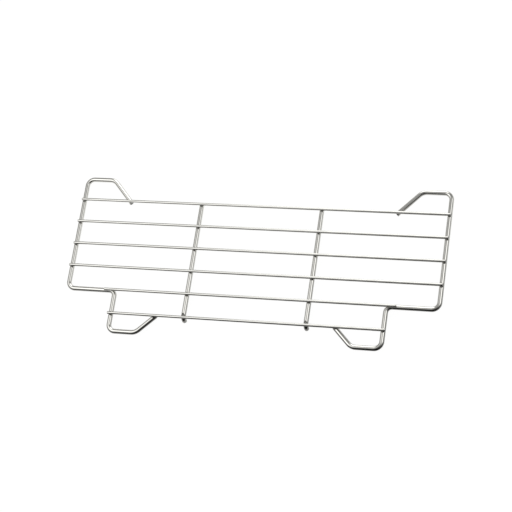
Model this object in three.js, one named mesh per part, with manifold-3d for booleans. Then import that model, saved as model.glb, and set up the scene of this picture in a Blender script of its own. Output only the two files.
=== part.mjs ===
// A flat welded wire rack: six straight long wires lie across two bent end wires and two mid bars.
// Millimetres, +Z up. +X runs along the long wires and +Y points to the back.
// The origin is the middle of the rack's footprint, level with the tips of the two front hooks.
// Every wire is drawn the way it is made: a round section swept along straight runs and bends.

import * as THREE from 'three';
import { mergeVertices } from 'three/addons/utils/BufferGeometryUtils.js';
import Module from 'manifold-3d';

// ---- Driving dimensions ----

const FRAME_WIRE = 5; // diameter of the end wires and mid bars
const LONG_WIRE = 3; // diameter of the six long wires

const END_SPAN = 395; // between the axes of the end wires' side legs
const FRONT_SPAN = 289; // between the axes of their front legs, inside the two notches
const MID_SPAN = 130; // between the axes of the mid bars

const ROW_PITCH = 24.8; // from one long wire to the next
const FRONT_PITCH = 25.5; // from the fifth long wire to the front one

const BACK_LOOP_DEPTH = 24.5; // how far the back corner loops stand out past the first long wire
const FRONT_LOOP_DEPTH = 18.5; // how far the front corner loops stand out past the front long wire
const LOOP_RUN = 30.2; // the loops' stretch that is parallel to the long wires
const BACK_LOOP_SLANT = 23; // how far a back loop's slanted end comes inward
const FRONT_LOOP_SLANT = 18.7; // the same for a front loop
const LOOP_TIP = 1.5; // how far a slanted end passes the axis of the long wire above it

const CORNER_RADIUS = 7.5; // of the bends at the loops' and sides' square corners, at the wire's axis
const NOTCH_RADIUS = 6; // of the bend inside a notch
const SLANT_RADIUS = 11; // of the bends where the loops' slanted ends begin
const HOOK_RADIUS = 5.4; // of the bend that turns a mid bar down, at the wire's axis
const HOOK_DROP = 6.3; // from a mid bar's axis down to its tip
const HOOK_REACH = 0.7; // how far a hook's leg stands out past the axis of the front long wire

const FULL_OVERHANG = 1.8; // the first four long wires' ends past the side legs' axes
const NOTCH_OVERHANG = 10.8; // the fifth long wire's ends past the front legs' axes
const FRONT_OVERHANG = 2.7; // the front long wire's ends past the front legs' axes
const MID_BAR_TAIL = 1.2; // the mid bars' back ends past the axis of the first long wire

const WIRE_GAP = 0.05; // between two wires where they cross
const WELD_GAP = 0.08; // between a weld and the wires it joins
const WELD_SPREAD = 2; // radius of a weld, seen from above
const WELD_HEIGHT = 0.9; // half its height

const FRAME_SIDES = 16;
const LONG_SIDES = 12;
const BEND_STEP = Math.PI / 12; // one facet ring for each 15 degrees of a bend

// ---- Places that follow from them ----

const FRAME_Z = HOOK_DROP;
const FRAME_TOP = FRAME_Z + FRAME_WIRE / 2;
const LONG_Z = FRAME_TOP + WIRE_GAP + LONG_WIRE / 2;

const rowsDepth = 4 * ROW_PITCH + FRONT_PITCH;
const BACK_ROW_Y = (rowsDepth + FRONT_LOOP_DEPTH - BACK_LOOP_DEPTH) / 2;
const NOTCH_ROW_Y = BACK_ROW_Y - 4 * ROW_PITCH;
const FRONT_ROW_Y = NOTCH_ROW_Y - FRONT_PITCH;

const fullLength = END_SPAN + 2 * FULL_OVERHANG;
const LONG_ROWS = [
  { y: BACK_ROW_Y, length: fullLength },
  { y: BACK_ROW_Y - ROW_PITCH, length: fullLength },
  { y: BACK_ROW_Y - 2 * ROW_PITCH, length: fullLength },
  { y: BACK_ROW_Y - 3 * ROW_PITCH, length: fullLength },
  { y: NOTCH_ROW_Y, length: FRONT_SPAN + 2 * NOTCH_OVERHANG },
  { y: FRONT_ROW_Y, length: FRONT_SPAN + 2 * FRONT_OVERHANG },
];

const SIDES = [
  { name: 'left', sign: -1 },
  { name: 'right', sign: 1 },
];

// ---- Materials ----

const frameChrome = new THREE.MeshStandardMaterial({ color: 0xc4c4c2, roughness: 0.12, metalness: 1 });
const longChrome = new THREE.MeshStandardMaterial({ color: 0xcbcbca, roughness: 0.12, metalness: 1 });
const weldChrome = new THREE.MeshStandardMaterial({ color: 0xa9a9a7, roughness: 0.3, metalness: 1 });

// ---- The route of a wire: straight runs joined by round bends ----

// A curve that is only ever asked for its own stations, so each bend starts and ends exactly on one.
class WireRoute extends THREE.Curve {
  constructor(stations) {
    super();
    this.stations = stations;
    this.steps = stations.length - 1;
  }

  getPointAt(u, target = new THREE.Vector3()) {
    return target.copy(this.stations[Math.round(u * this.steps)].point);
  }

  getTangentAt(u, target = new THREE.Vector3()) {
    return target.copy(this.stations[Math.round(u * this.steps)].tangent);
  }
}

// The stations of one bend of the given radius, where the route turns at a corner.
function bendStations(before, corner, after, radius) {
  const inward = corner.clone().sub(before).normalize();
  const outward = after.clone().sub(corner).normalize();
  const angle = inward.angleTo(outward);
  const setback = radius * Math.tan(angle / 2);
  const start = corner.clone().addScaledVector(inward, -setback);
  const axis = inward.clone().cross(outward).normalize();
  const centre = start.clone().addScaledVector(axis.clone().cross(inward), radius);
  const steps = Math.ceil(angle / BEND_STEP - 0.01);
  const stations = [];
  for (let i = 0; i <= steps; i += 1) {
    const turn = (angle * i) / steps;
    const point = start.clone().sub(centre).applyAxisAngle(axis, turn).add(centre);
    const tangent = inward.clone().applyAxisAngle(axis, turn);
    stations.push({ point, tangent });
  }
  return stations;
}

// A route through the corner points. There is one bend radius for each corner between the two ends.
function bentRoute(corners, radii) {
  const last = corners.length - 1;
  const firstTangent = corners[1].clone().sub(corners[0]).normalize();
  const lastTangent = corners[last].clone().sub(corners[last - 1]).normalize();
  const stations = [{ point: corners[0], tangent: firstTangent }];
  for (let i = 1; i < last; i += 1) {
    stations.push(...bendStations(corners[i - 1], corners[i], corners[i + 1], radii[i - 1]));
  }
  stations.push({ point: corners[last], tangent: lastTangent });
  return new WireRoute(stations);
}

// A regular polygon whose distance across the flats is the wire's diameter.
function wireSection(diameter, sides) {
  const cornerRadius = diameter / 2 / Math.cos(Math.PI / sides);
  const points = [];
  for (let i = 0; i < sides; i += 1) {
    const angle = ((i + 0.5) * 2 * Math.PI) / sides;
    points.push(new THREE.Vector2(cornerRadius * Math.cos(angle), cornerRadius * Math.sin(angle)));
  }
  return new THREE.Shape(points);
}

function sweepWire(route, diameter, sides) {
  return new THREE.ExtrudeGeometry(wireSection(diameter, sides), { steps: route.steps, extrudePath: route });
}

// ---- The routes of the ten wires ----

function longWireRoute(row) {
  const end = row.length / 2;
  return bentRoute([new THREE.Vector3(-end, row.y, LONG_Z), new THREE.Vector3(end, row.y, LONG_Z)], []);
}

// A slanted loop end carries on past its corner point by LOOP_TIP.
function slantTip(from, to) {
  const direction = to.clone().sub(from).normalize();
  return to.clone().addScaledVector(direction, LOOP_TIP);
}

// From the back loop's slanted end, round the loop, down the side, in along the notch,
// down the front leg and round the front loop to its slanted end.
function endWireRoute(sign) {
  const at = (x, y) => new THREE.Vector3(sign * x, y, FRAME_Z);
  const sideX = END_SPAN / 2;
  const frontX = FRONT_SPAN / 2;
  const backY = BACK_ROW_Y + BACK_LOOP_DEPTH;
  const frontY = FRONT_ROW_Y - FRONT_LOOP_DEPTH;
  const backRunEnd = at(sideX - LOOP_RUN, backY);
  const backMeet = at(sideX - LOOP_RUN - BACK_LOOP_SLANT, BACK_ROW_Y);
  const frontRunEnd = at(frontX - LOOP_RUN, frontY);
  const frontMeet = at(frontX - LOOP_RUN - FRONT_LOOP_SLANT, FRONT_ROW_Y);
  const corners = [
    slantTip(backRunEnd, backMeet),
    backRunEnd,
    at(sideX, backY),
    at(sideX, NOTCH_ROW_Y),
    at(frontX, NOTCH_ROW_Y),
    at(frontX, frontY),
    frontRunEnd,
    slantTip(frontRunEnd, frontMeet),
  ];
  const square = CORNER_RADIUS;
  return bentRoute(corners, [SLANT_RADIUS, square, square, NOTCH_RADIUS, square, SLANT_RADIUS]);
}

// Straight from back to front, then turned down into the hook.
function midBarRoute(sign) {
  const x = (sign * MID_SPAN) / 2;
  const hookY = FRONT_ROW_Y - HOOK_REACH;
  const corners = [
    new THREE.Vector3(x, BACK_ROW_Y + MID_BAR_TAIL, FRAME_Z),
    new THREE.Vector3(x, hookY, FRAME_Z),
    new THREE.Vector3(x, hookY, FRAME_Z - HOOK_DROP),
  ];
  return bentRoute(corners, [HOOK_RADIUS]);
}

// ---- Welds: a small lens of metal round each crossing, cut to the two wires ----

const wasm = await Module();
wasm.setup();

function solidFrom(geometry) {
  const bare = geometry.clone();
  bare.deleteAttribute('normal');
  bare.deleteAttribute('uv');
  const merged = mergeVertices(bare, 1e-4);
  const vertProperties = new Float32Array(merged.getAttribute('position').array);
  const triVerts = new Uint32Array(merged.getIndex().array);
  return new wasm.Manifold(new wasm.Mesh({ numProp: 3, vertProperties, triVerts }));
}

function geometryFrom(solid) {
  const mesh = solid.getMesh();
  const geometry = new THREE.BufferGeometry();
  geometry.setAttribute('position', new THREE.BufferAttribute(mesh.vertProperties, 3));
  geometry.setIndex(new THREE.BufferAttribute(mesh.triVerts, 1));
  geometry.computeVertexNormals();
  return geometry;
}

// The space that welds stay out of: the wire with a thin skin all round.
function keepClear(route, diameter, sides) {
  return solidFrom(sweepWire(route, diameter + 2 * WELD_GAP, sides));
}

function weldGeometry(place, height, frameWire, longWire) {
  const lens = new THREE.SphereGeometry(1, 12, 8);
  lens.rotateX(Math.PI / 2);
  lens.scale(WELD_SPREAD, WELD_SPREAD, height);
  lens.translate(place.x, place.y, place.z);
  return geometryFrom(solidFrom(lens).subtract(frameWire).subtract(longWire));
}

// ---- The assembly ----

const rack = new THREE.Group();

function addNode(name, geometry, material) {
  const mesh = new THREE.Mesh(geometry, material);
  mesh.name = name;
  rack.add(mesh);
}

function addWire(name, route, diameter, sides, material) {
  addNode(name, sweepWire(route, diameter, sides), material);
  return keepClear(route, diameter, sides);
}

const longWires = LONG_ROWS.map((row, i) =>
  addWire(`long_wire_${i + 1}`, longWireRoute(row), LONG_WIRE, LONG_SIDES, longChrome));

const crossingZ = FRAME_TOP + WIRE_GAP / 2;
// The front long wire lies over the start of the hooks' bends, so the welds there are taller.
const hookBendRise = HOOK_RADIUS + FRAME_WIRE / 2;
const hookBendRun = HOOK_RADIUS - HOOK_REACH;
const hookTopFall = hookBendRise - Math.sqrt(hookBendRise ** 2 - hookBendRun ** 2);

for (const { name, sign } of SIDES) {
  const endWire = addWire(`end_wire_${name}`, endWireRoute(sign), FRAME_WIRE, FRAME_SIDES, frameChrome);
  const midBar = addWire(`mid_bar_${name}`, midBarRoute(sign), FRAME_WIRE, FRAME_SIDES, frameChrome);

  const addWeld = (weldName, x, row, frameWire, z = crossingZ, height = WELD_HEIGHT) => {
    const place = new THREE.Vector3(sign * x, LONG_ROWS[row].y, z);
    addNode(`weld_${weldName}_${name}`, weldGeometry(place, height, frameWire, longWires[row]), weldChrome);
  };

  for (let row = 0; row < 4; row += 1) {
    addWeld(`row_${row + 1}_end`, END_SPAN / 2, row, endWire);
  }
  for (let row = 0; row < 5; row += 1) {
    addWeld(`row_${row + 1}_mid`, MID_SPAN / 2, row, midBar);
  }
  // The fifth long wire lies along the notch, so its weld wraps round its cut end.
  addWeld('row_5_end', LONG_ROWS[4].length / 2, 4, endWire);
  addWeld('row_6_end', FRONT_SPAN / 2, 5, endWire);
  addWeld('row_6_hook', MID_SPAN / 2, 5, midBar, crossingZ - hookTopFall / 2, WELD_HEIGHT + hookTopFall / 2);
  addWeld('back_loop', END_SPAN / 2 - LOOP_RUN - BACK_LOOP_SLANT, 0, endWire);
  addWeld('front_loop', FRONT_SPAN / 2 - LOOP_RUN - FRONT_LOOP_SLANT, 5, endWire);
}

export default rack;
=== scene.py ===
# %% [markdown]
# # A cooling rack, bent and welded from chrome-plated wire
#
# A baker's cooling rack is a small job for three machines. One straightens drawn steel wire and
# cuts it to length, one bends the thicker wires, and one presses crossing wires together and
# welds them with a pulse of current. Then the whole rack is polished and plated with bright chrome.
#
# This lesson builds the looks in the same order: cut, bend, weld, plate. Every place comes from the
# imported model, which is loaded first and stays where it is. The looks only stand in for its nodes.

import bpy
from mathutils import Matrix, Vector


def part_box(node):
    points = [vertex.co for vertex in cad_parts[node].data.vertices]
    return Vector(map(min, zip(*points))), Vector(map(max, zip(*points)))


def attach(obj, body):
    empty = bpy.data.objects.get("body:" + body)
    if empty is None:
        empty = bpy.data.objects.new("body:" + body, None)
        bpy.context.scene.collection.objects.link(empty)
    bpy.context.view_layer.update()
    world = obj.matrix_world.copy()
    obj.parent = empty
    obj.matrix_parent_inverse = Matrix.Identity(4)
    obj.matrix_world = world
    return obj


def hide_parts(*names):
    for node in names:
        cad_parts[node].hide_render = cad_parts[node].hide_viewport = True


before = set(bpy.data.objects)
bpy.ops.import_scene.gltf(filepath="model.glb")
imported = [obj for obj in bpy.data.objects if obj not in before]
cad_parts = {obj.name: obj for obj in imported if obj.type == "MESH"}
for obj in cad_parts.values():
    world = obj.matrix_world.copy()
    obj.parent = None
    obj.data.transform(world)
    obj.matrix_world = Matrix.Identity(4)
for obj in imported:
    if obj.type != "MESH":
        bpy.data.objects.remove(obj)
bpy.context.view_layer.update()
print("CAD nodes:", len(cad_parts))

# %% The rest of the tools
import math
import random

import bmesh
import bpy
from mathutils import Matrix, Vector
from mathutils.bvhtree import BVHTree

MM = 0.001
UP = Vector((0, 0, 1))

# %% [markdown]
# ## The camera
#
# A rack is flat, so it is seen best from well above. The camera looks down on it from the front
# right with a long lens, which keeps the long wires nearly parallel, and it is rolled, so the rack
# lies across the picture. A place, an aim and a roll are easier to read than a matrix, so the
# matrix is made from them.

# %% Camera
CAMERA_AIM = Vector((2.8, 5.8, 8.0)) * MM
CAMERA_DISTANCE = 1690.9 * MM
CAMERA_AZIMUTH = 42.34  # degrees round from the front, towards the right
CAMERA_ELEVATION = 64.454  # degrees above the table
CAMERA_ROLL = -36.474  # degrees; less than nothing leans the top of the picture to the right
CAMERA_LENS = 116.0  # mm, on a 36 mm sensor


def direction(azimuth, elevation):
    """The way from the rack to something at these angles; azimuth 0 is the front, 90 the right."""
    around, above = math.radians(azimuth), math.radians(elevation)
    flat = math.cos(above)
    return Vector((math.sin(around) * flat, -math.cos(around) * flat, math.sin(above)))


camera = bpy.data.objects.new("camera", bpy.data.cameras.new("camera"))
camera.data.lens = CAMERA_LENS
camera.data.sensor_width = 36
camera.data.clip_end = 20
towards_camera = direction(CAMERA_AZIMUTH, CAMERA_ELEVATION)
level_turn = towards_camera.to_track_quat("Z", "Y").to_matrix().to_4x4()
place = Matrix.Translation(CAMERA_AIM + towards_camera * CAMERA_DISTANCE)
camera.matrix_world = place @ level_turn @ Matrix.Rotation(math.radians(CAMERA_ROLL), 4, "Z")
bpy.context.collection.objects.link(camera)
bpy.context.scene.camera = camera
print("camera at", [round(v, 3) for v in camera.matrix_world.translation])

# %% [markdown]
# ## Small helpers for materials
#
# Colours are written as the hex values that a paint program shows, and shaders count in light, so
# one function turns the first into the second. Another adds a shader node, sets its inputs and
# links them, which keeps each material short enough to read in one go.


# %% Colour and node helpers
def linear(hex_colour):
    """An sRGB hex colour as the linear RGBA that shaders use."""
    parts = [int(hex_colour[i:i + 2], 16) / 255 for i in (1, 3, 5)]
    return tuple(c / 12.92 if c <= 0.04045 else ((c + 0.055) / 1.055) ** 2.4 for c in parts) + (1,)


def add_node(tree, kind, inputs=None, **settings):
    """Adds a node. An input is given by its name or number, as a value or as a socket to link."""
    node = tree.nodes.new(kind)
    for name, value in settings.items():
        setattr(node, name, value)
    for name, value in (inputs or {}).items():
        if isinstance(value, bpy.types.NodeSocket):
            tree.links.new(value, node.inputs[name])
        else:
            node.inputs[name].default_value = value
    return node


def new_material(name):
    """An empty material and its node tree."""
    material = bpy.data.materials.new(name)
    material.use_nodes = True
    material.node_tree.nodes.clear()
    return material, material.node_tree


# %% [markdown]
# ## The studio
#
# Chrome has hardly a colour of its own: what it shows is the room. So the room matters as much as
# the metal. This one stands for a white cloth tent with three soft lamps behind the cloth, open
# and dark at the front, where the camera stands. Every wire then carries a bright line, a grey
# body and, on the side that faces the opening, a dark line.
#
# The tent's size and place, its lamps and its opening weren't measured in a real tent or set by
# hand. They are the result of a least-squares fit of the light on the wires, seen from this camera,
# so they suit this view best.
#
# The tent is only about a metre away, so each end of the rack sees the lamps from another angle,
# and one wire can be bright at one end and dark at the other. A sky couldn't do that, because it
# is infinitely far off. The tent is a real ball of mesh, which only mirrors can see: it casts no
# shadow, and the camera looks through it at a plain white backdrop.

# %% Studio light
TENT_RADIUS = 1038 * MM
TENT_MIDDLE = Vector((-22, 140, 0)) * MM
TENT_LIGHT = 0.37  # how bright the plain cloth is
# Each lamp: azimuth, elevation, half-width of its glow in degrees, brightness.
LAMPS = {
    "over the left": (301, 59, 20.6, 3.96),
    "behind": (182, 34, 9.8, 24.12),
    "on the right": (96, 45, 14.1, 3.9),
}
OPENING = (16, 7, 69.5, 1.0)  # the dark side; the last number is how dark
CLOTH_LIMIT = 3.5  # the cloth spreads a lamp's light, so no spot gets brighter than this
BACKDROP_LIGHT = 1.0

cloth, tree = new_material("white_tent_cloth_lit_from_behind")
spot = add_node(tree, "ShaderNodeTexCoord").outputs["Object"]
outwards = add_node(tree, "ShaderNodeVectorMath", {0: spot, 1: TENT_MIDDLE}, operation="SUBTRACT").outputs[0]
look = add_node(tree, "ShaderNodeVectorMath", {0: outwards}, operation="NORMALIZE").outputs[0]


def glow(azimuth, elevation, half_width, strength):
    """A soft round patch on the cloth that falls to half its strength at half_width."""
    sharpness = math.log(2) / (1 - math.cos(math.radians(half_width)))
    towards = add_node(tree, "ShaderNodeVectorMath", {0: look, 1: direction(azimuth, elevation)},
                       operation="DOT_PRODUCT").outputs["Value"]
    falloff = add_node(tree, "ShaderNodeMath", {0: towards, 1: sharpness, 2: -sharpness},
                       operation="MULTIPLY_ADD").outputs[0]
    shape = add_node(tree, "ShaderNodeMath", {0: falloff}, operation="EXPONENT").outputs[0]
    return add_node(tree, "ShaderNodeMath", {0: shape, 1: strength}, operation="MULTIPLY").outputs[0]


# %% Light the cloth
brightness = TENT_LIGHT
for lamp in LAMPS.values():
    brightness = add_node(tree, "ShaderNodeMath", {0: brightness, 1: glow(*lamp)},
                          operation="ADD").outputs[0]
shade = add_node(tree, "ShaderNodeMath", {0: 1, 1: glow(*OPENING)}, operation="SUBTRACT",
                 use_clamp=True).outputs[0]
brightness = add_node(tree, "ShaderNodeMath", {0: brightness, 1: shade}, operation="MULTIPLY").outputs[0]
brightness = add_node(tree, "ShaderNodeMath", {0: brightness, 1: CLOTH_LIMIT}, operation="MINIMUM").outputs[0]
lit = add_node(tree, "ShaderNodeEmission", {"Color": linear("#ffffff"), "Strength": brightness})
add_node(tree, "ShaderNodeOutputMaterial", {"Surface": lit.outputs[0]})
print("lamps:", ", ".join(LAMPS))


# %% Put up the tent and the backdrop
def stage_piece(name, mesh, material):
    """A piece of the studio, which isn't part of the rack and sends out light only when it is seen."""
    piece = bpy.data.objects.new(name, bpy.data.meshes.new(name))
    mesh.to_mesh(piece.data)
    mesh.free()
    piece.data.materials.append(material)
    material.cycles.emission_sampling = "NONE"
    bpy.context.collection.objects.link(piece)
    return piece


def show_only_in_mirrors(piece):
    """Hides a piece of the studio from everything but reflections."""
    piece.visible_camera = False
    piece.visible_diffuse = False
    piece.visible_transmission = False
    piece.visible_shadow = False


ball = bmesh.new()
bmesh.ops.create_icosphere(ball, subdivisions=5, radius=TENT_RADIUS, matrix=Matrix.Translation(TENT_MIDDLE))
tent = stage_piece("tent", ball, cloth)
show_only_in_mirrors(tent)

backdrop = bpy.data.worlds.new("backdrop")
bpy.context.scene.world = backdrop
backdrop.use_nodes = True
backdrop.node_tree.nodes.clear()
paper = add_node(backdrop.node_tree, "ShaderNodeBackground",
                 {"Color": linear("#ffffff"), "Strength": BACKDROP_LIGHT})
add_node(backdrop.node_tree, "ShaderNodeOutputWorld", {"Surface": paper.outputs[0]})
backdrop.cycles.sampling_method = "NONE"
bpy.context.scene.view_settings.view_transform = "Standard"
print("tent, m across:", round(2 * TENT_RADIUS, 2))

# %% [markdown]
# ## The table
#
# Small shiny goods are often shown on clear glass, a little above a sheet of opal acrylic
# with lamps under it. The sheet comes out plain white, and the rack's shadow is washed out.
#
# One even sheet doesn't give the wires the right reflections. A sheet that is brighter at the back
# and dull at the front does, so there are two here: an even one that the camera sees, at the height
# of the glass, and a sloping one that only mirrors see, lower down. That is a trick of this scene,
# and a real table has one sheet. The lower one's depth and light come from the same kind of fit.

# %% Table
TABLE_RADIUS = 3.0  # m
TABLE_GLOW = 0.95  # the light from below, which washes out the rack's shadow
TABLE_MOTTLE = 80 * MM

# Real opal acrylic is white. This one is made dark grey, so that little light comes back from it and
# the rack's shadow stays faint, and nearly all its white is the glow from below. The casting leaves
# a mottle that is only just there.
opal, tree = new_material("matt_opal_acrylic_lit_from_below")
spot = add_node(tree, "ShaderNodeTexCoord").outputs["Object"]
mottle = add_node(tree, "ShaderNodeTexNoise", {"Vector": spot, "Scale": 1 / TABLE_MOTTLE, "Detail": 3})
body_colour = add_node(tree, "ShaderNodeMix", {  # inputs 6 and 7 are its two colours
    0: mottle.outputs[0],
    6: linear("#3c3c3b"),
    7: linear("#444443"),
}, data_type="RGBA")
surface = add_node(tree, "ShaderNodeBsdfPrincipled", {
    "Base Color": body_colour.outputs[2], "Roughness": 0.7, "Emission Color": linear("#ffffff"),
    "Emission Strength": TABLE_GLOW})
add_node(tree, "ShaderNodeOutputMaterial", {"Surface": surface.outputs[0]})


def disc(height):
    """A wide round sheet at a height."""
    mesh = bmesh.new()
    bmesh.ops.create_circle(mesh, cap_ends=True, segments=96, radius=TABLE_RADIUS,
                            matrix=Matrix.Translation(UP * height))
    return mesh


table = stage_piece("table", disc(0), opal)
table.visible_glossy = False
print("table, m across:", 2 * TABLE_RADIUS)

# %% The sheet that the wires mirror
SHEET_DROP = 27 * MM  # from the glass down to the sheet
SHEET_MIDDLE_LIGHT = 0.81  # under the rack's middle
SHEET_SLOPE = Vector((-0.84, 4.32, 0))  # how much brighter it gets for each metre right and back
SHEET_DARKEST, SHEET_BRIGHTEST = 0.0, 1.15

glowing, tree = new_material("opal_acrylic_with_lamps_behind_the_left")
spot = add_node(tree, "ShaderNodeTexCoord").outputs["Object"]
slope = add_node(tree, "ShaderNodeVectorMath", {0: spot, 1: SHEET_SLOPE}, operation="DOT_PRODUCT")
light = add_node(tree, "ShaderNodeMath", {0: slope.outputs["Value"], 1: SHEET_MIDDLE_LIGHT},
                 operation="ADD").outputs[0]
light = add_node(tree, "ShaderNodeClamp", {0: light, 1: SHEET_DARKEST, 2: SHEET_BRIGHTEST}).outputs[0]
lit = add_node(tree, "ShaderNodeEmission", {"Color": linear("#ffffff"), "Strength": light})
add_node(tree, "ShaderNodeOutputMaterial", {"Surface": lit.outputs[0]})
sheet = stage_piece("lit_sheet", disc(-SHEET_DROP), glowing)
show_only_in_mirrors(sheet)
print("sheet, mm below the rack:", round(1000 * SHEET_DROP, 1))

# %% [markdown]
# ## Read the rack's measures
#
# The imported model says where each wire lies. A node's box gives a wire's thickness and how far it
# reaches, and a weld's box gives the place where two wires cross. Only the bends' radii and the
# straight part of the corner loops can't be read from boxes, so they are written down here.

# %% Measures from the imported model
CORNER_RADIUS = 7.5 * MM  # at the wire's axis, for the end wires' square corners
NOTCH_RADIUS = 6.0 * MM  # for the bend inside a notch
SLANT_RADIUS = 11.0 * MM  # for the bends where a loop's slanted end begins
HOOK_RADIUS = 5.4 * MM  # where a mid bar turns down
LOOP_RUN = 30.2 * MM  # a corner loop's stretch along the long wires, between its corner points
LOOP_TIP = 1.5 * MM  # how far a loop's slanted end runs past the long wire it is welded to


def middle(node):
    """The middle of a node's box."""
    low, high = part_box(node)
    return (low + high) / 2


LONG_RADIUS = (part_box("long_wire_1")[1].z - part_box("long_wire_1")[0].z) / 2
FRAME_RADIUS = (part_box("end_wire_right")[1].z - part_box("end_wire_right")[0].z) / 2
FRAME_Z = middle("end_wire_right").z
print("long wires, mm thick:", round(2000 * LONG_RADIUS, 2))
print("frame wires, mm thick:", round(2000 * FRAME_RADIUS, 2))

# %% [markdown]
# ## A wire bender
#
# On a bending machine the wire starts straight. It is fed forward, bent round a roller, fed again,
# and cut. Blender's Extrude and Spin make the same moves: a ring of points is extruded forward for
# a straight run, and spun round the roller's axis for a bend. A curve with a bevel would be
# quicker, but its corners wouldn't have one true radius.
#
# Each point also remembers where it was on the straight wire. Drawing leaves fine lines along a
# wire, and with this memory they follow every bend, as on real wire.


# %% Feed and bend
RING_POINTS = 32
BEND_STEP = math.radians(6)


def start_wire(at, heading, radius):
    """A new mesh with one ring of points, square to the heading."""
    mesh = bmesh.new()
    straight = mesh.verts.layers.float_vector.new("straight_wire")
    turn = UP.rotation_difference(heading).to_matrix().to_4x4()
    ring = bmesh.ops.create_circle(mesh, segments=RING_POINTS, radius=radius,
                                   matrix=Matrix.Translation(at) @ turn)["verts"]
    for point in ring:
        point[straight] = turn.inverted() @ (point.co - at)
    return mesh, list({edge for point in ring for edge in point.link_edges})


def remember(mesh, ring, length):
    """Moves the ring's remembered places forward along the straight wire."""
    straight = mesh.verts.layers.float_vector["straight_wire"]
    for point in {point for edge in ring for point in edge.verts}:
        point[straight] += Vector((0, 0, length))


def feed(mesh, ring, heading, length):
    """Extrudes the ring forward and returns the new ring."""
    grown = bmesh.ops.extrude_edge_only(mesh, edges=ring)["geom"]
    points = [part for part in grown if isinstance(part, bmesh.types.BMVert)]
    bmesh.ops.translate(mesh, verts=points, vec=heading * length)
    new_ring = [part for part in grown if isinstance(part, bmesh.types.BMEdge)]
    remember(mesh, new_ring, length)
    return new_ring


def bend(mesh, ring, roller, axis, angle, radius):
    """Spins the ring round the roller in small equal steps and returns the last ring."""
    steps = math.ceil(angle / BEND_STEP)
    for _ in range(steps):
        points = list({point for edge in ring for point in edge.verts})
        spun = bmesh.ops.spin(mesh, geom=points + ring, cent=roller, axis=axis,
                              angle=angle / steps, steps=1)["geom_last"]
        ring = [part for part in spun if isinstance(part, bmesh.types.BMEdge)]
        remember(mesh, ring, radius * angle / steps)
    return ring


# %% [markdown]
# ## Cut ends
#
# A wire is cut by a blade that shears it, so an end is never quite square: it leans a few degrees.
# Polishing then takes the sharp edge off. Here the last ring is tilted about the foremost point of
# its rim, so that nothing grows past the wire's length, and the rim gets a small round bevel.

# %% Cut and bend
CUT_LEAN = math.radians(4)  # the most that an end leans
CUT_EDGE = 0.35 * MM  # radius of the polished edge
CUT_STUB = 2.5 * MM  # the last bit of a wire, which takes the lean


def lean_cut(mesh, ring, heading, radius, chance):
    """Tilts an end ring as a shear blade leaves it. The heading points out of the wire."""
    points = list({point for edge in ring for point in edge.verts})
    centre = sum((point.co for point in points), Vector()) / len(points)
    side = heading.orthogonal().normalized()
    side.rotate(Matrix.Rotation(chance.uniform(0, math.tau), 3, heading))
    lean = Matrix.Rotation(CUT_LEAN * chance.uniform(0.3, 1), 3, side)
    rim = centre + heading.cross(side) * radius
    bmesh.ops.rotate(mesh, verts=points, cent=rim, matrix=lean)


def bend_wire(corners, radius, rollers, chance):
    """A wire through the corner points. The rollers are the bend radii, one for each inner corner."""
    heading = (corners[1] - corners[0]).normalized()
    mesh, first_ring = start_wire(corners[0], heading, radius)
    ring = feed(mesh, first_ring, heading, CUT_STUB)
    fed = CUT_STUB
    for here, corner, after, bend_radius in zip(corners, corners[1:], corners[2:], rollers):
        new_heading = (after - corner).normalized()
        angle = heading.angle(new_heading)
        setback = bend_radius * math.tan(angle / 2)
        axis = heading.cross(new_heading).normalized()
        ring = feed(mesh, ring, heading, (corner - here).length - fed - setback)
        roller = corner - heading * setback + axis.cross(heading) * bend_radius
        ring = bend(mesh, ring, roller, axis, angle, bend_radius)
        heading, fed = new_heading, setback
    left = (corners[-1] - corners[-2]).length - fed
    stub = min(CUT_STUB, left)  # a hook has hardly any straight wire after its bend
    if left > stub:
        ring = feed(mesh, ring, heading, left - stub)
    ring = feed(mesh, ring, heading, stub)
    lean_cut(mesh, first_ring, (corners[0] - corners[1]).normalized(), radius, chance)
    lean_cut(mesh, ring, heading, radius, chance)
    return mesh, first_ring + ring


# %% Close the ends and make the object
def make_object(name, mesh):
    """Turns a closed mesh into a smooth piece with its faces pointing outwards."""
    bmesh.ops.recalc_face_normals(mesh, faces=mesh.faces)
    for face in mesh.faces:
        face.smooth = len(face.verts) <= 4
    piece = bpy.data.objects.new(name, bpy.data.meshes.new(name))
    mesh.to_mesh(piece.data)
    bpy.context.collection.objects.link(piece)
    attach(piece, "root")
    return piece


def finish_wire(node, name, corners, radius, rollers):
    """Bends a wire, caps and rounds its ends, and puts it in the place of a CAD node.

    The wire's own finish goes into its first material, and that of the two cut faces into its second.
    """
    mesh, end_edges = bend_wire(corners, radius, rollers, random.Random(node))
    bmesh.ops.holes_fill(mesh, edges=end_edges, sides=0)
    bmesh.ops.bevel(mesh, geom=end_edges, affect="EDGES", offset=CUT_EDGE, segments=4,
                    profile=0.5, material=-1)
    for face in mesh.faces:  # only the two cut faces have more than four corners
        face.material_index = 1 if len(face.verts) > 4 else 0
    piece = make_object(name, mesh)
    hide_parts(node)
    surfaces[node] = BVHTree.FromBMesh(mesh)
    mesh.free()
    return piece


surfaces = {}  # each wire's surface, kept so that the welds can find it

# %% [markdown]
# ## The six long wires
#
# Thin straight wires that carry the food. They lie across the frame wires, five at one pitch and
# the front one a little further on, and each runs a little past the last wire that it crosses.

# %% Long wires
long_wires = []
for row in range(1, 7):
    low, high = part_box(f"long_wire_{row}")
    y, z = middle(f"long_wire_{row}").yz
    ends = [Vector((low.x, y, z)), Vector((high.x, y, z))]
    long_wires.append(finish_wire(f"long_wire_{row}", f"rack_long_wire_{row}", ends,
                                  LONG_RADIUS, []))
print("long wires, mm long:", [round(1000 * wire.dimensions.x, 1) for wire in long_wires])

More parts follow.
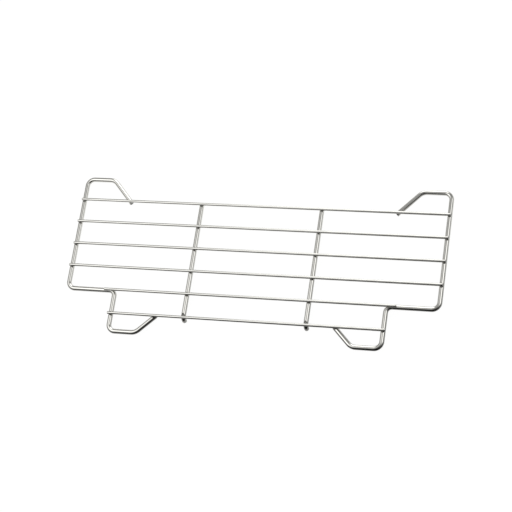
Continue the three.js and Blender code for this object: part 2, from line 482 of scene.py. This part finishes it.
# %% [markdown]
# ## The two end wires
#
# Each side of the rack is one thick wire. It starts under the first long wire, slants out to make
# the back corner loop, runs down the side, steps in along the fifth long wire, runs forward again
# and ends in the front corner loop. The maker bends two alike and turns one over, so one function
# makes both, with a sign for the side.
#
# The bends aren't all alike. The square corners are made round one roller, the one inside the
# notch round a smaller one, and the slanted ends of the loops are bent round a bigger one.


# %% End wires
def end_wire_corners(side, sign):
    """The corner points of an end wire, before its bends are rounded."""
    low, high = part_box(f"end_wire_{side}")
    side_x = max(abs(low.x), abs(high.x)) - FRAME_RADIUS
    front_x = abs(middle(f"weld_row_6_end_{side}").x)
    back_y = high.y - FRAME_RADIUS
    front_y = low.y + FRAME_RADIUS
    notch_y = middle("long_wire_5").y
    back_meet = abs(middle(f"weld_back_loop_{side}").x), middle("long_wire_1").y
    front_meet = abs(middle(f"weld_front_loop_{side}").x), middle("long_wire_6").y
    flat = [
        back_meet,
        (side_x - LOOP_RUN, back_y),
        (side_x, back_y),
        (side_x, notch_y),
        (front_x, notch_y),
        (front_x, front_y),
        (front_x - LOOP_RUN, front_y),
        front_meet,
    ]
    corners = [Vector((sign * x, y, FRAME_Z)) for x, y in flat]
    corners[0] += (corners[0] - corners[1]).normalized() * LOOP_TIP
    corners[-1] += (corners[-1] - corners[-2]).normalized() * LOOP_TIP
    return corners


SIDES = {"left": -1, "right": 1}
END_WIRE_ROLLERS = [SLANT_RADIUS, CORNER_RADIUS, CORNER_RADIUS, NOTCH_RADIUS, CORNER_RADIUS, SLANT_RADIUS]
end_wires = []
for side, sign in SIDES.items():
    corners = end_wire_corners(side, sign)
    end_wires.append(finish_wire(f"end_wire_{side}", f"rack_end_wire_{side}", corners,
                                 FRAME_RADIUS, END_WIRE_ROLLERS))
    print(side, "end wire, corner points:", len(corners))

# %% [markdown]
# ## The two mid bars
#
# Thick bars under the long wires keep them from sagging. At the front each one turns down in a
# tight bend and stops. The two short hooks may keep the rack's front edge off the table, or drop
# over the rim of a tray.

# %% Mid bars
mid_bars = []
for side in SIDES:
    low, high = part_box(f"mid_bar_{side}")
    x = (low.x + high.x) / 2
    hook_y = low.y + FRAME_RADIUS
    corners = [Vector((x, high.y, FRAME_Z)), Vector((x, hook_y, FRAME_Z)), Vector((x, hook_y, low.z))]
    mid_bars.append(finish_wire(f"mid_bar_{side}", f"rack_mid_bar_{side}", corners,
                                FRAME_RADIUS, [HOOK_RADIUS]))
print("mid bars, mm:", [[round(1000 * v, 1) for v in bar.dimensions] for bar in mid_bars])

# %% [markdown]
# ## Welds
#
# Where two wires cross, the welding machine presses them together and melts the spot between
# them. The metal that is squeezed out freezes as a small fillet, a saddle that hugs both wires.
#
# Each saddle starts as two rims, one laid on the underside of the long wire and one on the top of
# the frame wire. Bridge joins them, Subdivide gives the side some points, and Smooth draws those
# in to a neck, as surface tension does with melted steel. No two welds are quite alike, so each
# gets its own small share of chance from a seed.

# %% One weld
WELD_POINTS = 28
WELD_REACH = 2.4  # mm, half of what a weld covers along its long wire
WELD_HUG = 1.5  # mm, half of what it covers across the long wire
WELD_SINK = 0.05 * MM  # how far a rim reaches into its wire, so that no gap shows
WELD_CHANCE = 0.1  # how much the welds differ, as a share of their size
NECK_POINTS = 3  # between a weld's two rims
NECK_DRAWS = 8  # how often surface tension draws the neck in


def lay_rim(mesh, place, half_length, half_width, heading, wire):
    """An oval of points round a place, each moved to the nearest spot of a wire's surface."""
    turn = Matrix.Rotation(heading, 4, "Z")
    oval = Matrix.Diagonal((half_length, half_width, 1, 1))
    rim = bmesh.ops.create_circle(mesh, segments=WELD_POINTS, radius=1,
                                  matrix=Matrix.Translation(place) @ turn @ oval)["verts"]
    for point in rim:
        spot, outward, _, _ = wire.find_nearest(point.co)
        point.co = spot - outward * WELD_SINK
    return list({edge for point in rim for edge in point.link_edges})


def weld(node, long_node, frame_node, heading, shift=(0, 0), length=2.6, width=2.2):
    """A weld between two wires. The heading is the frame wire's, as an angle from the long wire.

    The shift, in mm, moves it right and back. The length and width, in mm, are half of what it
    covers along and across the frame wire.
    """
    chance = random.Random(node)
    near = middle(node) + Vector((*shift, 0)) * MM
    above = surfaces[long_node].find_nearest(near)[0]
    below = surfaces[frame_node].find_nearest(near)[0]
    place = (above + below) / 2
    place.x += chance.uniform(-1, 1) * WELD_CHANCE * MM
    size = MM * (1 + WELD_CHANCE * chance.uniform(-1, 1))
    mesh = bmesh.new()
    hug = min(WELD_HUG, width)
    top = lay_rim(mesh, place, WELD_REACH * size, hug * size, 0, surfaces[long_node])
    bottom = lay_rim(mesh, place, length * size, width * size, heading, surfaces[frame_node])
    sides = bmesh.ops.bridge_loops(mesh, edges=top + bottom)["edges"]
    neck = bmesh.ops.subdivide_edges(mesh, edges=sides, cuts=NECK_POINTS)["geom_inner"]
    neck = [part for part in neck if isinstance(part, bmesh.types.BMVert)]
    for _ in range(NECK_DRAWS):
        bmesh.ops.smooth_vert(mesh, verts=neck, factor=0.5,
                              use_axis_x=True, use_axis_y=True, use_axis_z=True)
    bmesh.ops.holes_fill(mesh, edges=top + bottom, sides=0)
    piece = make_object(f"rack_{node}", mesh)
    mesh.free()
    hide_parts(node)
    return piece


# %% [markdown]
# ## Weld every crossing
#
# Most welds join wires that cross square. A corner loop comes in on a slant, so its weld is turned
# to follow it. The fifth long wire lies along the notch, and its weld is a short seam near its end.
# The front wire crosses the mid bars where they begin to bend down into the hooks. Its weld there
# is taken to be longer and to run back up the bar, which is a guess. Its dark colour there is also
# painted shade for the bar's bend.

# %% All the welds
SQUARE = math.pi / 2
welds = []
for side, sign in SIDES.items():
    end_wire, mid_bar = f"end_wire_{side}", f"mid_bar_{side}"
    for row in range(1, 5):
        welds.append(weld(f"weld_row_{row}_end_{side}", f"long_wire_{row}", end_wire, SQUARE))
    for row in range(1, 6):
        welds.append(weld(f"weld_row_{row}_mid_{side}", f"long_wire_{row}", mid_bar, SQUARE))
    # This longer weld's dark colour paints the shade of the bar's bend down into the hook.
    welds.append(weld(f"weld_row_6_hook_{side}", "long_wire_6", mid_bar, SQUARE,
                      shift=(0, 1.5), length=4.5))
    welds.append(weld(f"weld_row_6_end_{side}", "long_wire_6", end_wire, SQUARE))
    welds.append(weld(f"weld_row_5_end_{side}", "long_wire_5", end_wire, 0,
                      shift=(-sign * 3, 0), length=2.5, width=1.2))
    corners = end_wire_corners(side, sign)
    for place, slant, row in (("back", corners[1] - corners[0], 1), ("front", corners[-2] - corners[-1], 6)):
        welds.append(weld(f"weld_{place}_loop_{side}", f"long_wire_{row}", end_wire,
                          math.atan2(slant.y, slant.x), length=3.4))
print("welds:", len(welds))

# %% [markdown]
# ## Bright chrome plate
#
# The wire is cold-drawn steel, polished and plated with nickel and then a very thin coat of
# chromium. That gives a hard, bright mirror, a trace warmer than chromium alone because of the
# nickel under it. Three things keep it from looking like a computer's chrome: fine lines that run
# along the wire from the drawing die, a slow waviness from the straightening rolls that makes
# reflections wander, and plating that is a little thicker in some places than in others, which
# clouds the shine.
#
# The lines follow the straight wire that each point remembers. The rest sits in plain space.

# %% Chrome on drawn wire
LINE_WIDTH = 0.3 * MM  # real draw lines are some hundredths wide; finer than this wouldn't show
LINE_LENGTH = 25 * MM
LINE_DEPTH = 0.001 * MM
ROLL_WAVE = 24 * MM  # from one slow wave of the straightened wire to the next
ROLL_DEPTH = 0.012 * MM
PLATE_CLOUD = 7 * MM


def chrome_plate(name, thick_hex, thin_hex, clear, cloudy):
    """Chrome on drawn wire. The colours are of thick and thin plate; the last two are roughness."""
    material, tree = new_material(name)
    spot = add_node(tree, "ShaderNodeTexCoord").outputs["Object"]
    straight = add_node(tree, "ShaderNodeAttribute", attribute_name="straight_wire").outputs["Vector"]
    stretch = (1 / LINE_WIDTH, 1 / LINE_WIDTH, 1 / LINE_LENGTH)
    along = add_node(tree, "ShaderNodeMapping", {"Vector": straight, "Scale": stretch}).outputs[0]
    lines = add_node(tree, "ShaderNodeTexNoise", {"Vector": along, "Scale": 1, "Detail": 2}).outputs[0]
    waves = add_node(tree, "ShaderNodeTexNoise",
                     {"Vector": spot, "Scale": 1 / ROLL_WAVE, "Detail": 0}).outputs[0]
    cloud = add_node(tree, "ShaderNodeTexNoise",
                     {"Vector": spot, "Scale": 1 / PLATE_CLOUD, "Detail": 2}).outputs[0]
    both = add_node(tree, "ShaderNodeMath", {0: cloud, 1: lines}, operation="ADD").outputs[0]
    haze = add_node(tree, "ShaderNodeMapRange", {"Value": both, "From Min": 0.6, "From Max": 1.4,
                                                 "To Min": clear, "To Max": cloudy}).outputs[0]
    colour = add_node(tree, "ShaderNodeMix", {0: cloud, 6: linear(thin_hex), 7: linear(thick_hex)},
                      data_type="RGBA").outputs[2]
    wander = add_node(tree, "ShaderNodeBump",
                      {"Height": waves, "Distance": ROLL_DEPTH, "Strength": 1.0}).outputs[0]
    drawn = add_node(tree, "ShaderNodeBump", {"Height": lines, "Distance": LINE_DEPTH,
                                              "Strength": 1.0, "Normal": wander}).outputs[0]
    chrome = add_node(tree, "ShaderNodeBsdfPrincipled", {
        "Base Color": colour, "Metallic": 1, "Roughness": haze, "Normal": drawn})
    add_node(tree, "ShaderNodeOutputMaterial", {"Surface": chrome.outputs[0]})
    return material


thin_wire_chrome = chrome_plate("chrome_on_thin_drawn_wire", "#d0cfca", "#c8c7c2", 0.06, 0.10)
thick_wire_chrome = chrome_plate("chrome_on_thick_drawn_wire", "#cfcec9", "#c6c5c0", 0.06, 0.10)
for wire in long_wires:
    wire.data.materials.append(thin_wire_chrome)
for wire in end_wires + mid_bars:
    wire.data.materials.append(thick_wire_chrome)
print("plated wires:", len(long_wires + end_wires + mid_bars))

# %% [markdown]
# ## Chrome where no wheel can polish
#
# The same plate also covers the welds and the cut faces of the wires. A weld froze in the open, so
# it is a little pitted, and it sits in a corner that the polishing wheel can't reach. A cut face is
# torn by the blade. The plate comes out thin and dull on both. Their colours are also painted much
# darker than the wires'. On the welds that dark is painted shade, standing in for the shade and dark
# reflections where two wires meet. They have no draw lines, because no die has touched them.

# %% Chrome on the welds and the cut faces
WELD_PIT = 0.5 * MM
CUT_TEAR = 0.25 * MM
ROUGH_DEPTH = 0.03 * MM
PIT_HAZE, PEAK_HAZE = 0.45, 0.3  # roughness of the low and the high spots


def unpolished_chrome_painted_dark(name, low_hex, high_hex, grain):
    """Chrome over rough metal, with its colour painted dark. The colours are of its low and high spots."""
    material, tree = new_material(name)
    spot = add_node(tree, "ShaderNodeTexCoord").outputs["Object"]
    pits = add_node(tree, "ShaderNodeTexNoise",
                    {"Vector": spot, "Scale": 1 / grain, "Detail": 3}).outputs[0]
    colour = add_node(tree, "ShaderNodeMix", {0: pits, 6: linear(low_hex), 7: linear(high_hex)},
                      data_type="RGBA").outputs[2]
    haze = add_node(tree, "ShaderNodeMapRange", {"Value": pits, "From Min": 0.3, "From Max": 0.7,
                                                 "To Min": PIT_HAZE, "To Max": PEAK_HAZE}).outputs[0]
    pitted = add_node(tree, "ShaderNodeBump",
                      {"Height": pits, "Distance": ROUGH_DEPTH, "Strength": 1.0}).outputs[0]
    chrome = add_node(tree, "ShaderNodeBsdfPrincipled", {
        "Base Color": colour, "Metallic": 1, "Roughness": haze, "Normal": pitted})
    add_node(tree, "ShaderNodeOutputMaterial", {"Surface": chrome.outputs[0]})
    return material


# The welds' dark colours are painted shade where the wires meet. The cut faces' colours are only made darker
# than the wires'.
weld_chrome_painted_shade = unpolished_chrome_painted_dark("chrome_over_weld", "#5e5d5a", "#85847f", WELD_PIT)
cut_chrome = unpolished_chrome_painted_dark("chrome_over_sheared_end", "#5e5d5a", "#7d7c78", CUT_TEAR)
for joint in welds:
    joint.data.materials.append(weld_chrome_painted_shade)
for wire in long_wires + end_wires + mid_bars:
    wire.data.materials.append(cut_chrome)
print("plated welds:", len(welds))
